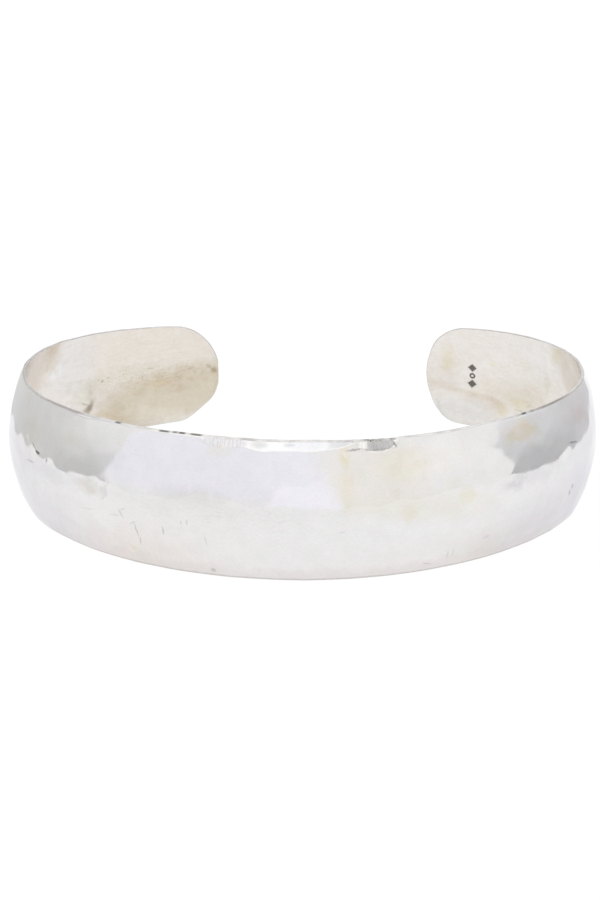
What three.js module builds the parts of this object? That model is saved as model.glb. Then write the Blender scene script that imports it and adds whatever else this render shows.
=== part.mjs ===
// Open cuff bangle: one strip of silver sheet, domed across its width and bent round the wrist.
// Millimetres, +Z up. The cuff lies on its side with its lower rim on the ground. The middle of its
// front faces -Y and its opening faces +Y. The origin is under the middle of its box, on the ground.
import * as THREE from 'three';

const SHEET_THICKNESS = 0.6;
const FRONT_WIDTH = 15.2; // band width at the middle of the front
const END_WIDTH = 11.0; // width that the taper reaches at the tips, before they are rounded
const TAPER_POWER = 2; // 1 tapers evenly, more keeps the front wide for longer
const FRONT_DOME = 2.1; // how far the middle of the band stands out from its rims at the front
const END_DOME = 0.5; // the same at the tips, where the sheet is almost flat
const DOME_POWER = 2; // 2 makes the section across the band a parabola
const TIP_LENGTH = 5.0; // length of the rounded part of each end, along the band

// The rim seen from above, from the middle of the front out to each tip: three arcs a side, each
// running smoothly into the next. Radius in mm, turn in degrees. The band was bent by hand, so its
// two sides differ a little.
const BENDS = {
  left: [
    { radius: 32.5, turn: 48 },
    { radius: 21.2, turn: 95 },
    { radius: 32.0, turn: 21.5 },
  ],
  right: [
    { radius: 32.5, turn: 53.5 },
    { radius: 22.0, turn: 102.5 },
    { radius: 35.0, turn: 7.3 },
  ],
};

// Facets of each face of the sheet.
const BODY_COLUMNS = 96; // along the band, between the two rounded tips
const TIP_COLUMNS = 7; // along each rounded tip
const ROWS = 10; // across the band

const SILVER = { color: 0xdedcd6, roughness: 0.15, metalness: 1.0 };

const { lerp, degToRad } = THREE.MathUtils;

function armLength(bends) {
  return bends.reduce((sum, bend) => sum + bend.radius * degToRad(bend.turn), 0);
}

// Place and heading on the rim, a distance out from the middle of the front. Heading 0 runs along
// the front, and it grows as the arm turns back towards the opening.
function walkArm(bends, distance) {
  const place = new THREE.Vector2(0, 0);
  let heading = 0;
  let remaining = distance;
  for (const { radius, turn } of bends) {
    const walked = Math.min(remaining, radius * degToRad(turn));
    const nextHeading = heading + walked / radius;
    place.x += radius * (Math.sin(nextHeading) - Math.sin(heading));
    place.y += radius * (Math.cos(heading) - Math.cos(nextHeading));
    heading = nextHeading;
    remaining -= walked;
  }
  return { place, heading };
}

// A point on the sheet. along is the distance from the middle of the front, negative on the left
// arm; across runs from -1 at the lower rim to 1 at the upper rim.
function sheetPoint(along, across, isOuter) {
  const bends = along < 0 ? BENDS.left : BENDS.right;
  const side = along < 0 ? -1 : 1;
  const distance = Math.abs(along);
  const { place, heading } = walkArm(bends, distance);
  const taper = (distance / armLength(bends)) ** TAPER_POWER;
  const halfWidth = lerp(FRONT_WIDTH, END_WIDTH, taper) / 2;
  const dome = lerp(FRONT_DOME, END_DOME, taper);
  const crown = 1 - Math.abs(across) ** DOME_POWER;

  // The rim is filed flat, so it is wider than the sheet is thick where the dome meets it at a slant.
  const rimSlope = (DOME_POWER * dome) / halfWidth;
  const rimThickness = SHEET_THICKNESS * Math.hypot(1, rimSlope);
  const outward = isOuter ? dome * crown : lerp(-rimThickness, dome - SHEET_THICKNESS, crown);

  const x = side * (place.x + Math.sin(heading) * outward);
  const y = place.y - Math.cos(heading) * outward;
  const z = halfWidth * (1 + across);
  return new THREE.Vector3(x, y, z);
}

// The sheet's outline is covered by a grid of columns along it and rows across it. In each rounded
// tip the grid's square corners are pressed onto the half ellipse of the tip.
function gridPlace(column, row) {
  const straightAcross = (2 * row) / ROWS - 1;
  const leftEnd = -(armLength(BENDS.left) - TIP_LENGTH);
  const rightEnd = armLength(BENDS.right) - TIP_LENGTH;
  const bodyColumn = column - TIP_COLUMNS;
  if (bodyColumn >= 0 && bodyColumn <= BODY_COLUMNS) {
    return { along: lerp(leftEnd, rightEnd, bodyColumn / BODY_COLUMNS), across: straightAcross };
  }
  const isLeft = bodyColumn < 0;
  const columnsIntoTip = isLeft ? -bodyColumn : bodyColumn - BODY_COLUMNS;
  const intoTip = columnsIntoTip / TIP_COLUMNS;
  const tipDistance = TIP_LENGTH * intoTip * Math.sqrt(1 - straightAcross ** 2 / 2);
  return {
    along: isLeft ? leftEnd - tipDistance : rightEnd + tipDistance,
    across: straightAcross * Math.sqrt(1 - intoTip ** 2 / 2),
  };
}

function makeCuffGeometry() {
  const columns = BODY_COLUMNS + 2 * TIP_COLUMNS;
  const points = [];
  for (const isOuter of [true, false]) {
    for (let column = 0; column <= columns; column++) {
      for (let row = 0; row <= ROWS; row++) {
        const { along, across } = gridPlace(column, row);
        points.push(sheetPoint(along, across, isOuter));
      }
    }
  }

  const facePointCount = points.length / 2;
  const outer = (column, row) => column * (ROWS + 1) + row;
  const inner = (column, row) => facePointCount + outer(column, row);
  const triangles = [];
  const addQuad = (a, b, c, d) => triangles.push(a, b, c, a, c, d);

  for (let column = 0; column < columns; column++) {
    for (let row = 0; row < ROWS; row++) {
      const corners = [[column, row], [column + 1, row], [column + 1, row + 1], [column, row + 1]];
      addQuad(...corners.map(([c, r]) => outer(c, r)));
      addQuad(...corners.map(([c, r]) => inner(c, r)).reverse());
    }
  }

  // The rim joins the two faces all the way round the outline: lower rim, right tip, upper rim, left tip.
  const outline = [];
  for (let column = 0; column < columns; column++) outline.push([column, 0]);
  for (let row = 0; row < ROWS; row++) outline.push([columns, row]);
  for (let column = columns; column > 0; column--) outline.push([column, ROWS]);
  for (let row = ROWS; row > 0; row--) outline.push([0, row]);
  outline.forEach(([column, row], index) => {
    const [nextColumn, nextRow] = outline[(index + 1) % outline.length];
    addQuad(outer(column, row), inner(column, row), inner(nextColumn, nextRow), outer(nextColumn, nextRow));
  });

  const geometry = new THREE.BufferGeometry().setFromPoints(points);
  geometry.setIndex(triangles);

  // The origin goes under the middle of the cuff's box, level with the lower rim.
  geometry.computeBoundingBox();
  const centre = geometry.boundingBox.getCenter(new THREE.Vector3());
  geometry.translate(-centre.x, -centre.y, -geometry.boundingBox.min.z);
  geometry.computeVertexNormals();
  return geometry;
}

const cuff = new THREE.Mesh(makeCuffGeometry(), new THREE.MeshStandardMaterial(SILVER));
cuff.name = 'cuff_band';

const bangle = new THREE.Group();
bangle.add(cuff);

export default bangle;
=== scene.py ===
"""Looks of an open cuff bangle: hammered silver, polished outside and satin inside.

Lengths are in millimetres until a mesh is made or the camera is placed, which is in metres. The strip
that the cuff was cut from has its own coordinates: along, from the middle of the front, negative on the
left arm, and across, from -1 at the lower rim to 1 at the upper rim. Marks and stains are placed by
their distance along the strip and their height above the lower rim.
"""
import math

import bpy
import numpy as np
from mathutils import Matrix, Vector


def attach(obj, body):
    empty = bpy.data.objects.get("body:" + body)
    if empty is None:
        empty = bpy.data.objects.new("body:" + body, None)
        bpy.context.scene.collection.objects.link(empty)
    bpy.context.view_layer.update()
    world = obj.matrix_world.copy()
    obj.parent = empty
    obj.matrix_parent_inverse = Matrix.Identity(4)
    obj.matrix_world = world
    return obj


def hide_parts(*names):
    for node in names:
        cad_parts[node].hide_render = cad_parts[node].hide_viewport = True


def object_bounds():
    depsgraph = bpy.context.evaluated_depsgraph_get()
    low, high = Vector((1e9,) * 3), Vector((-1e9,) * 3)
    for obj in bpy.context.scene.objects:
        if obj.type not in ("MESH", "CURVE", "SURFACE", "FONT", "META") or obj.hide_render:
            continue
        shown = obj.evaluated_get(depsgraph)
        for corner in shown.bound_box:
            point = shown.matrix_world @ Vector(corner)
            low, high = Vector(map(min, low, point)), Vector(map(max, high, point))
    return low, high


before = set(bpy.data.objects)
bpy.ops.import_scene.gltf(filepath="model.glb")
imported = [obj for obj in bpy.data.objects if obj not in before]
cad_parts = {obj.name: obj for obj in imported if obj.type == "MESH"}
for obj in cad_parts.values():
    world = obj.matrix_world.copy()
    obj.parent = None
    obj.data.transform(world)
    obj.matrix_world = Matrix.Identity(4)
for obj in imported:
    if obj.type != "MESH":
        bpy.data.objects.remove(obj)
CAD_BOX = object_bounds()
MM = 0.001

# ---------------- the cuff's shape, as in the CAD part

SHEET_THICKNESS = 0.6
FRONT_WIDTH = (CAD_BOX[1][2] - CAD_BOX[0][2]) / MM
END_WIDTH = 11.0
TAPER_POWER = 2  # the band narrows and flattens slowly at first
FRONT_DOME = 2.1
END_DOME = 0.5
DOME_POWER = 2
TIP_LENGTH = 5.0
BENDS = {  # radius and turn in degrees of each arc, from the middle of the front to the tip
    "left": ((32.5, 48.0), (21.2, 95.0), (32.0, 21.5)),
    "right": ((32.5, 53.5), (22.0, 102.5), (35.0, 7.3)),
}


def arm_length(bends):
    """Length of the strip from the middle of the front to a tip."""
    return sum(radius * math.radians(turn) for radius, turn in bends)


LEFT_LENGTH = arm_length(BENDS["left"])
RIGHT_LENGTH = arm_length(BENDS["right"])


def lerp(a, b, share):
    """The value a share of the way from a to b."""
    return a + (b - a) * share


def smoothstep(low, high, value):
    """0 at low and 1 at high, which may be the lesser of the two."""
    share = np.clip((value - low) / (high - low), 0.0, 1.0)
    return share * share * (3.0 - 2.0 * share)


def walk_arm(bends, distance):
    """Place (x, y) and heading on the rim, a distance out from the middle of the front."""
    x, y, heading = np.zeros((3,) + distance.shape)
    remaining = distance.copy()
    for radius, turn in bends:
        walked = np.minimum(remaining, radius * math.radians(turn))
        ahead = heading + walked / radius
        x += radius * (np.sin(ahead) - np.sin(heading))
        y += radius * (np.cos(heading) - np.cos(ahead))
        heading = ahead
        remaining = remaining - walked
    return x, y, heading


def strip_sizes(along):
    """Half the band's width and the height of its dome, at each distance along it."""
    arm = np.where(along < 0, LEFT_LENGTH, RIGHT_LENGTH)
    taper = (np.abs(along) / arm) ** TAPER_POWER
    return lerp(FRONT_WIDTH, END_WIDTH, taper) / 2, lerp(FRONT_DOME, END_DOME, taper)


def sheet_section(along, across, depth):
    """How far out from the rim line, and how high, a point of the sheet lies. depth is 0 on the outer
    face of the sheet and 1 on the inner face."""
    half_width, dome = strip_sizes(along)
    crown = 1 - np.abs(across) ** DOME_POWER
    rim_thickness = SHEET_THICKNESS * np.hypot(1, DOME_POWER * dome / half_width)
    outer = dome * crown
    inner = lerp(-rim_thickness, dome - SHEET_THICKNESS, crown)
    return lerp(outer, inner, depth), half_width * (1 + across)


def place_on_plan(along, outward, height):
    """Points in space from their distance along the band, out from the rim line, and up."""
    is_left = along < 0
    distance = np.abs(along)
    left = walk_arm(BENDS["left"], np.where(is_left, distance, 0.0))
    right = walk_arm(BENDS["right"], np.where(is_left, 0.0, distance))
    x, y, heading = (np.where(is_left, a, b) for a, b in zip(left, right))
    side = np.where(is_left, -1.0, 1.0)
    return np.stack([side * (x + np.sin(heading) * outward), y - np.cos(heading) * outward, height], -1)


# ---------------- hammering, filing and other marks

# Each round of hammering: spacing of the blows, the share of the surface's own curve that a blow takes
# out, how much deeper some blows go, how round the ridges between them are, and the seed of the scatter.
HAMMERINGS = (
    (3.9, 0.42, 0.03, 0.005, 41),
    (1.7, 0.36, 0.004, 0.0012, 12),
)
BLOW_SCATTER = 0.40  # share of the spacing that a blow may miss its place by
BLOW_ROWS = 0.87  # distance between the rows of blows, as a share of the spacing
BLOW_REACH = 2.5  # how many spacings away along the strip a blow still counts
PLAN_RADIUS = 28.0  # of the band's curve on the plan, about the same all along it
FLATTEST_DOME = 20.0  # the blows take the dome's radius to be no larger than this

# Unevenness of a surface shaped by hand: the size of its waves, their height, and the seed of their
# directions.
SHEET_WAVES = (10.0, 0.02, 5)
OUTER_WAVES = (2.2, 0.004, 9)
INNER_WAVES = (11.0, 0.012, 6)
RIM_WAVES = (3.0, 0.012, 7)  # up and down, of the upper rim
INNER_WAVE_SQUEEZE = 1.6  # the inner face's waves are longer along the strip than across it

MARK_PLACE = (68.5, 5.9)  # along and height of the punched mark on the inner face
MARK_DENT = (0.9, 1.6, 0.06)  # half length, half width and depth of the dent that the punch left

RIM_THICKNESS = 0.26  # the rims are rounded off, thinner than the sheet
RIM_EASE = 4.6  # how far in from the outline the thinning starts
RIM_EASE_POWER = 1.3  # 1 thins the sheet evenly, more keeps the thinning near the rim

# Flats hammered and filed along the outer corner of the upper rim.
RIM_FLATS = (
    # along, reach, depth, slant in degrees from facing straight out
    (1.3, 5.8, 0.24, 39),
    (9.2, 2.2, 0.43, 42),
    (-6.2, 2.4, 0.19, 39),
    (-11.5, 4, 0.06, 50),
    (-24, 5.5, 0.08, 46),
    (19, 4, 0.06, 46),
    (29.5, 6, 0.1, 44),
    (-37, 6, 0.08, 46),
)
FLAT_BLUNTNESS = 0.3  # 0.5 rounds a flat's ends off evenly, less makes them blunter

# Shallow round dents in the outer face, between the hammer blows.
DENTS = (
    # along, height, radius, depth
    # at the lower edge of the left grey patch
    (-37.8, 10.9, 1.2, 0.07),
    (-33.1, 9, 1.1, 0.085),
    (-31.5, 9.9, 0.9, 0.065),
    (-30, 8.6, 0.9, 0.07),
    (-28.8, 9.8, 0.6, 0.02),
    (-26.7, 8.45, 1.2, 0.13),
    (-25, 9.4, 0.8, 0.04),
    (-23.3, 7.6, 1.4, 0.09),
    (-21.7, 7.9, 1.2, 0.05),
    (-19.6, 8.1, 1.4, 0.095),
    # at the lower edge of the right grey patch
    (24.2, 8, 1, 0.03),
    (25.9, 7.9, 1.2, 0.03),
    (28.4, 10.3, 1.6, 0.035),
    (30.7, 10.1, 0.9, 0.03),
    (32.5, 8.6, 1.25, 0.135),
    (34.1, 8.3, 0.9, 0.045),
    # single dents lower down
    (-16, 5.2, 1, 0.02),
    (33.4, 4.6, 0.5, 0.03),
)

# How far each tip's outline lies beyond its ellipse at places across the strip. Both tips were cut and
# filed by hand: the left one's lower corner is filed back, and the right one's is fuller.
TRIM_START = TIP_LENGTH + 3  # the trimming fades in from here, measured from the end of the tip
TRIM_FULL = 1.0
TIP_PLACES = (-1.0, -0.92, -0.83, -0.72, -0.62, -0.5, -0.25, 0.1, 0.4, 0.75, 1.0)
LEFT_TIP_TRIM = (-0.2, -0.4, -0.42, -0.2, 0.06, 0.2, 0.18, 0.16, 0.1, 0.03, 0.0)
RIGHT_TIP_TRIM = (1.1, 0.75, 0.42, 0.28, 0.18, 0.05, 0.0, 0.0, 0.05, 0.3, 0.2)

# Where the upper rim runs a little above or below its even line.
STEP_FADE = (1.3, 0.7)  # a step fades out between these shares of its half length
STEPS_FROM = 0.55  # the steps move only the part of the strip above this place across it
RIM_STEPS = (
    # along, half length, height
    (-7.5, 4, 0.06),
    (12, 7, -0.11),
    (10.8, 0.7, -0.08),
    (-46, 8, 0.07),
    (60, 14, 0.07),
)


def hammer_blows(spacing, deepest, seed):
    """Centres of the blows on the flat strip, in rows that run along it, with how deep each one went."""
    rng = np.random.default_rng(seed)
    rows = np.arange(-FRONT_WIDTH / 2, FRONT_WIDTH / 2 + spacing, spacing * BLOW_ROWS)
    centres = []
    for index, row in enumerate(rows):
        start = -LEFT_LENGTH - spacing + (index % 2) * spacing / 2
        for along in np.arange(start, RIGHT_LENGTH + spacing, spacing):
            miss = rng.uniform(-1, 1, 2) * BLOW_SCATTER * spacing
            centres.append((along + miss[0], row + miss[1]))
    return np.array(centres), rng.uniform(0, deepest, len(centres))


def hammer_relief(along, mid_height, spacing, flattening, deepest, softness, seed):
    """Height of the hammered face over the smooth one. Each blow presses a flat, and what is left
    standing is the lowest of them all."""
    centres, depth = hammer_blows(spacing, deepest, seed)
    half_width, dome = strip_sizes(centres[:, 0])
    dome_radius = half_width**2 / (2 * dome)
    sums = np.zeros(along.shape)
    for (centre_along, centre_height), deep, radius in zip(centres, depth, dome_radius):
        near = np.abs(along - centre_along) < BLOW_REACH * spacing
        d_along = along[near] - centre_along
        d_height = mid_height[near] - centre_height
        curve = d_along**2 / (2 * PLAN_RADIUS) + d_height**2 / (2 * min(radius, FLATTEST_DOME))
        sums[near] += np.exp(-(flattening * curve - deep) / softness)
    relief = -softness * np.log(sums)
    return relief - np.mean(relief)


def waves(along, height, size, amount, seed, count=14):
    """A gentle uneven surface: waves of about the given size, in all directions, summed."""
    rng = np.random.default_rng(seed)
    total = np.zeros(along.shape)
    for _ in range(count):
        angle = rng.uniform(0, math.tau)
        frequency = math.tau / (size * rng.uniform(0.7, 1.6))
        phase = rng.uniform(0, math.tau)
        total += np.sin(frequency * (along * math.cos(angle) + height * math.sin(angle)) + phase)
    return amount * total / math.sqrt(count)


def rim_steps(along):
    """How far the upper rim runs above its even line, at each distance along it."""
    total = waves(along, 0 * along, *RIM_WAVES)
    for place, reach, height in RIM_STEPS:
        total = total + height * smoothstep(*STEP_FADE, np.abs(along - place) / reach)
    return total


def dents(along, height):
    """How deep the single dents go, at each place on the outer face."""
    total = 0 * along
    for place, at_height, radius, deep in DENTS:
        off_centre = np.hypot(along - place, height - at_height) / radius
        total = total + deep * np.exp(-(off_centre**2))
    return total


def punch_dent(along, height):
    """How deep the punch of the mark pressed in the inner face."""
    mark_along, mark_height = MARK_PLACE
    half_length, half_width, deep = MARK_DENT
    off_centre = np.hypot((along - mark_along) / half_length, (height - mark_height) / half_width)
    return deep * smoothstep(1.3, 0.6, off_centre)


def cut_rim_flats(along, outward, height, rim_height):
    """Presses the filed flats into the outer corner of the upper rim."""
    for place, reach, depth, slant in RIM_FLATS:
        share = 1 - ((along - place) / reach) ** 2
        cut = depth * np.clip(share, 0, None) ** FLAT_BLUNTNESS
        out, up = math.cos(math.radians(slant)), math.sin(math.radians(slant))
        proud = outward * out + (height - rim_height) * up + cut
        proud = np.where(share > 0, np.clip(proud, 0, None), 0.0)
        outward = outward - proud * out
        height = height - proud * up
    return outward, height


# ---------------- the fine mesh

BODY_COLUMNS = 560
TIP_COLUMNS = 20
COLUMNS = BODY_COLUMNS + 2 * TIP_COLUMNS
ROWS = 60
RIM_ROWS = 8  # round the rim, from the outer face to the inner one
RIM_ROUNDING = 0.10  # how far in from the outline the rounding of the rim starts
RIM_SQUARENESS = 2.4  # 2 is a half round rim, more is flatter with tighter corners
ROW_CROWDING = 0.8  # rows lie closer together towards the rims


def grid_places(column, row, inset):
    """The strip coordinates of a grid place, and how far in from the outline it lies. The grid's square
    corners are pressed onto the rounded tips, and the whole grid is drawn in from the outline."""
    share = 2 * row / ROWS - 1
    straight = np.sin(share * ROW_CROWDING * math.pi / 2) / math.sin(ROW_CROWDING * math.pi / 2)
    left_end, right_end = -(LEFT_LENGTH - TIP_LENGTH), RIGHT_LENGTH - TIP_LENGTH
    body = (column - TIP_COLUMNS) / BODY_COLUMNS
    into_tip = np.clip(np.maximum(-body, body - 1) * BODY_COLUMNS / TIP_COLUMNS, 0, 1)
    tip_share = into_tip * np.sqrt(1 - straight**2 / 2)
    along = lerp(left_end, right_end, np.clip(body, 0, 1))
    along = along + np.sign(body - 0.5) * (TIP_LENGTH - inset) * tip_share
    across = straight * np.sqrt(1 - into_tip**2 / 2)
    half_width = strip_sizes(along)[0]
    from_edge = inset + (half_width - inset) * (1 - np.hypot(tip_share, across))
    return along, across * (1 - inset / half_width), from_edge


def trim_tips(along, across):
    """Gives each tip its own outline instead of the even ellipse."""
    near_left = smoothstep(TRIM_START, TRIM_FULL, along + LEFT_LENGTH)
    near_right = smoothstep(TRIM_START, TRIM_FULL, RIGHT_LENGTH - along)
    left = near_left * np.interp(across, TIP_PLACES, LEFT_TIP_TRIM)
    right = near_right * np.interp(across, TIP_PLACES, RIGHT_TIP_TRIM)
    return along - left + right


def finished_points(along, across, depth, from_edge):
    """The sheet's surface with every mark of the making on it, in space."""
    outward, height = sheet_section(along, across, depth)
    half_width = strip_sizes(along)[0]
    mid_height = across * half_width
    outside = 1 - depth
    thinning = np.clip(1 - from_edge / RIM_EASE, 0, 1) ** RIM_EASE_POWER
    outward = outward + depth * (SHEET_THICKNESS - RIM_THICKNESS) * thinning
    for hammering in HAMMERINGS:
        outward = outward + outside * hammer_relief(along, mid_height, *hammering)
    outward = outward + waves(along, mid_height, *SHEET_WAVES)
    outward = outward + outside * waves(along, mid_height, *OUTER_WAVES)
    outward = outward + depth * waves(along, mid_height * INNER_WAVE_SQUEEZE, *INNER_WAVES)
    outward = outward - outside * dents(along, mid_height + half_width)
    outward = outward + depth * punch_dent(along, mid_height + half_width)
    height = height + smoothstep(STEPS_FROM, 1.0, across) * rim_steps(along)
    outward, height = cut_rim_flats(along, outward, height, 2 * half_width)
    return place_on_plan(trim_tips(along, across), outward, height)


def face_grid():
    """Columns and rows of the points of a face."""
    column, row = np.meshgrid(np.arange(COLUMNS + 1), np.arange(ROWS + 1), indexing="ij")
    return column.ravel().astype(float), row.ravel().astype(float)


def grid_outline():
    """Columns and rows of the points on the outline of a face, once round it."""
    outline = [(c, 0) for c in range(COLUMNS)] + [(COLUMNS, r) for r in range(ROWS)]
    outline += [(c, ROWS) for c in range(COLUMNS, 0, -1)] + [(0, r) for r in range(ROWS, 0, -1)]
    return np.array(outline, float).T


def rim_layer(column, row, turn):
    """The points that lie a turn round the rim, where 0 is the outer face and pi the inner one."""
    over = abs(math.cos(turn)) ** (2 / RIM_SQUARENESS) * math.copysign(1, math.cos(turn))
    inset = RIM_ROUNDING * (1 - math.sin(turn) ** (2 / RIM_SQUARENESS))
    along, across, from_edge = grid_places(column, row, inset)
    return along, across, np.full(len(column), (1 - over) / 2), from_edge


def sheet_places():
    """Places along and across the strip, depths and distances from the outline of all points: those of
    the outer face, those of the inner face, and then loop by loop those of the rim between them."""
    along, across, from_edge = grid_places(*face_grid(), RIM_ROUNDING)
    layers = [(along, across, np.full(len(along), float(depth)), from_edge) for depth in (0, 1)]
    for step in range(1, RIM_ROWS):
        layers.append(rim_layer(*grid_outline(), math.pi * step / RIM_ROWS))
    return [np.concatenate(part) for part in zip(*layers)]


def grid_quads(index):
    """The faces between the points of a grid, by their numbers."""
    return np.stack([index[:-1, :-1], index[1:, :-1], index[1:, 1:], index[:-1, 1:]], -1).reshape(-1, 4)


def sheet_quads():
    """The faces of the closed sheet, and the material of each: 0 outside, 1 inside, 2 on the rim."""
    face_count = (COLUMNS + 1) * (ROWS + 1)
    outer = np.arange(face_count).reshape(COLUMNS + 1, ROWS + 1)
    quads = [grid_quads(outer), grid_quads(outer + face_count)[:, ::-1]]
    rim_column, rim_row = grid_outline()
    edge = (rim_column * (ROWS + 1) + rim_row).astype(int)
    loops = [edge]
    for step in range(RIM_ROWS - 1):
        loops.append(2 * face_count + step * len(edge) + np.arange(len(edge)))
    loops.append(edge + face_count)
    for near, far in zip(loops[:-1], loops[1:]):
        quads.append(np.stack([near, far, np.roll(far, -1), np.roll(near, -1)], -1))
    material = [np.full(len(part), index) for part, index in zip(quads, [0, 1] + [2] * RIM_ROWS)]
    return np.concatenate(quads), np.concatenate(material)


def add_object(name, points, faces):
    """A new object with a mesh of the given points and faces."""
    mesh = bpy.data.meshes.new(name)
    mesh.from_pydata(points, [], faces)
    made = bpy.data.objects.new(name, mesh)
    bpy.context.scene.collection.objects.link(made)
    return made


def build_cuff():
    """The cuff as one closed mesh, with the strip's own coordinates on it for the materials."""
    along, across, depth, from_edge = sheet_places()
    quads, material = sheet_quads()
    points = finished_points(along, across, depth, from_edge)
    smooth = place_on_plan(along, *sheet_section(along, across, depth))
    centre = (smooth.min(0) + smooth.max(0)) / 2
    points -= (centre[0], centre[1], 0)  # the CAD part's box is centred in the same way
    cuff = add_object("hammered_cuff", (points * MM).tolist(), quads.tolist())
    mesh = cuff.data
    mesh.polygons.foreach_set("use_smooth", np.ones(len(quads), bool))
    mesh.polygons.foreach_set("material_index", material.astype(np.int32))
    strip = mesh.attributes.new("strip", "FLOAT_VECTOR", "POINT")
    height = (across + 1) * strip_sizes(along)[0]
    strip.data.foreach_set("vector", np.stack([along, height, depth], -1).ravel())
    mesh.attributes.new("from_edge", "FLOAT", "POINT").data.foreach_set("value", from_edge)
    mesh.update()
    return cuff


# ---------------- materials

def opaque(colour):
    """The colour in the form that a shader's input takes."""
    return (*colour, 1.0)


class Nodes:
    """Adds nodes to a material's or a world's tree. Each value may be a number or a node's output."""

    def __init__(self, owner):
        owner.use_nodes = True
        self.tree = owner.node_tree
        self.tree.nodes.clear()

    def set_input(self, socket, value):
        """Links an input to another node's output, or gives it a value."""
        if isinstance(value, bpy.types.NodeSocket):
            self.tree.links.new(value, socket)
        else:
            socket.default_value = value

    def add(self, kind, inputs=None, **settings):
        """A new node, with its inputs and its settings."""
        made = self.tree.nodes.new(kind)
        for name, value in settings.items():
            setattr(made, name, value)
        for name, value in (inputs or {}).items():
            self.set_input(made.inputs[name], value)
        return made

    def math(self, operation, a, b=0.0, clamp=False):
        return self.add("ShaderNodeMath", {0: a, 1: b}, operation=operation, use_clamp=clamp).outputs[0]

    def vector_math(self, operation, a, b=(0, 0, 0)):
        return self.add("ShaderNodeVectorMath", {0: a, 1: b}, operation=operation)

    def attribute(self, name, output):
        return self.add("ShaderNodeAttribute", attribute_name=name).outputs[output]

    def noise(self, vector, scale, detail=3.0, roughness=0.55, output="Fac"):
        inputs = {"Vector": vector, "Scale": scale, "Detail": detail, "Roughness": roughness}
        return self.add("ShaderNodeTexNoise", inputs).outputs[output]

    def stretched(self, vector, scale):
        """The same coordinates with each axis scaled, so that a noise in them is longer one way."""
        return self.add("ShaderNodeMapping", {"Vector": vector, "Scale": scale}).outputs[0]

    def ramp(self, value, low, high, to_low=0.0, to_high=1.0):
        """Goes smoothly from to_low to to_high as the value goes from low to high."""
        inputs = {"Value": value, "From Min": low, "From Max": high, "To Min": to_low, "To Max": to_high}
        made = self.add("ShaderNodeMapRange", inputs, interpolation_type="SMOOTHSTEP", clamp=False)
        return made.outputs[0]

    def shaken(self, vector, scale, amount, detail=3.0):
        """The same coordinates, pushed about by noise, so that what is drawn with them has ragged edges."""
        push = self.noise(vector, scale, detail, output="Color")
        push = self.vector_math("SUBTRACT", push, (0.5, 0.5, 0.5)).outputs[0]
        push = self.add("ShaderNodeVectorMath", {0: push, "Scale": amount}, operation="SCALE").outputs[0]
        return self.vector_math("ADD", vector, push).outputs[0]

    def patch(self, vector, along, height, length, width, angle=0.0, soft=0.5):
        """1 inside an ellipse on the strip, falling to 0 past its edge."""
        reach = 1.0 + soft
        inputs = {"Vector": vector, "Location": (along, height, 0), "Rotation": (0, 0, math.radians(angle))}
        inputs["Scale"] = (length * reach, width * reach, 1e3)
        inside = self.add("ShaderNodeMapping", inputs, vector_type="TEXTURE").outputs[0]
        ball = self.add("ShaderNodeTexGradient", {"Vector": inside}, gradient_type="SPHERICAL")
        return self.ramp(ball.outputs["Fac"], 0.0, 2.0 * soft / reach)

    def diamond(self, vector, along, height, length, width):
        """1 inside a diamond on the strip."""
        inputs = {"Vector": vector, "Location": (along, height, 0), "Scale": (length, width, 1e3)}
        inside = self.add("ShaderNodeMapping", inputs, vector_type="TEXTURE").outputs[0]
        inside = self.vector_math("ABSOLUTE", inside).outputs[0]
        reach = self.vector_math("DOT_PRODUCT", inside, (1, 1, 0)).outputs["Value"]
        return self.ramp(reach, 1.25, 0.75)

    def mix(self, share, a, b, blend="MIX"):
        """The colour a share of the way from a to b, or to their product."""
        made = self.add("ShaderNodeMix", data_type="RGBA", blend_type=blend)
        for index, value in ((0, share), (6, a), (7, b)):  # the colour inputs come after the others
            self.set_input(made.inputs[index], value)
        return made.outputs[2]

    def tint(self, share, colour, tint):
        """The colour multiplied by a tint, where share is 1."""
        return self.mix(share, colour, opaque(tint), "MULTIPLY")

    def lay_tints(self, colour, vector, patches):
        """The colour with a table's tinted patches laid over it: tarnish, dirt, painted shade and light."""
        for *place, tint, strength in patches:
            share = self.math("MULTIPLY", self.patch(vector, *place), strength)
            colour = self.tint(share, colour, tint)
        return colour

    def relief(self, height, strength, depth):
        """The surface's direction on a fine relief, which is depth metres high where height is 1."""
        inputs = {"Height": height, "Strength": strength, "Distance": depth}
        return self.add("ShaderNodeBump", inputs).outputs[0]

    def finish(self, kind, inputs, output="ShaderNodeOutputMaterial"):
        """Ends the tree with a shader of the given kind."""
        self.add(output, {"Surface": self.add(kind, inputs).outputs[0]})


# The bare metal of each surface, which varies between two colours.
POLISHED = (0.805, 0.80, 0.80), (0.84, 0.835, 0.84)
SATIN = (0.825, 0.795, 0.765), (0.80, 0.76, 0.72)
# The rim's darker metal is partly dirt and tarnish and partly painted shade, for the dark surroundings that
# the thin rounded rim reflects.
RIM = (0.71, 0.70, 0.685), (0.58, 0.565, 0.55)
PIT = (0.20, 0.185, 0.17)  # the bottom of the punched mark
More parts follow.
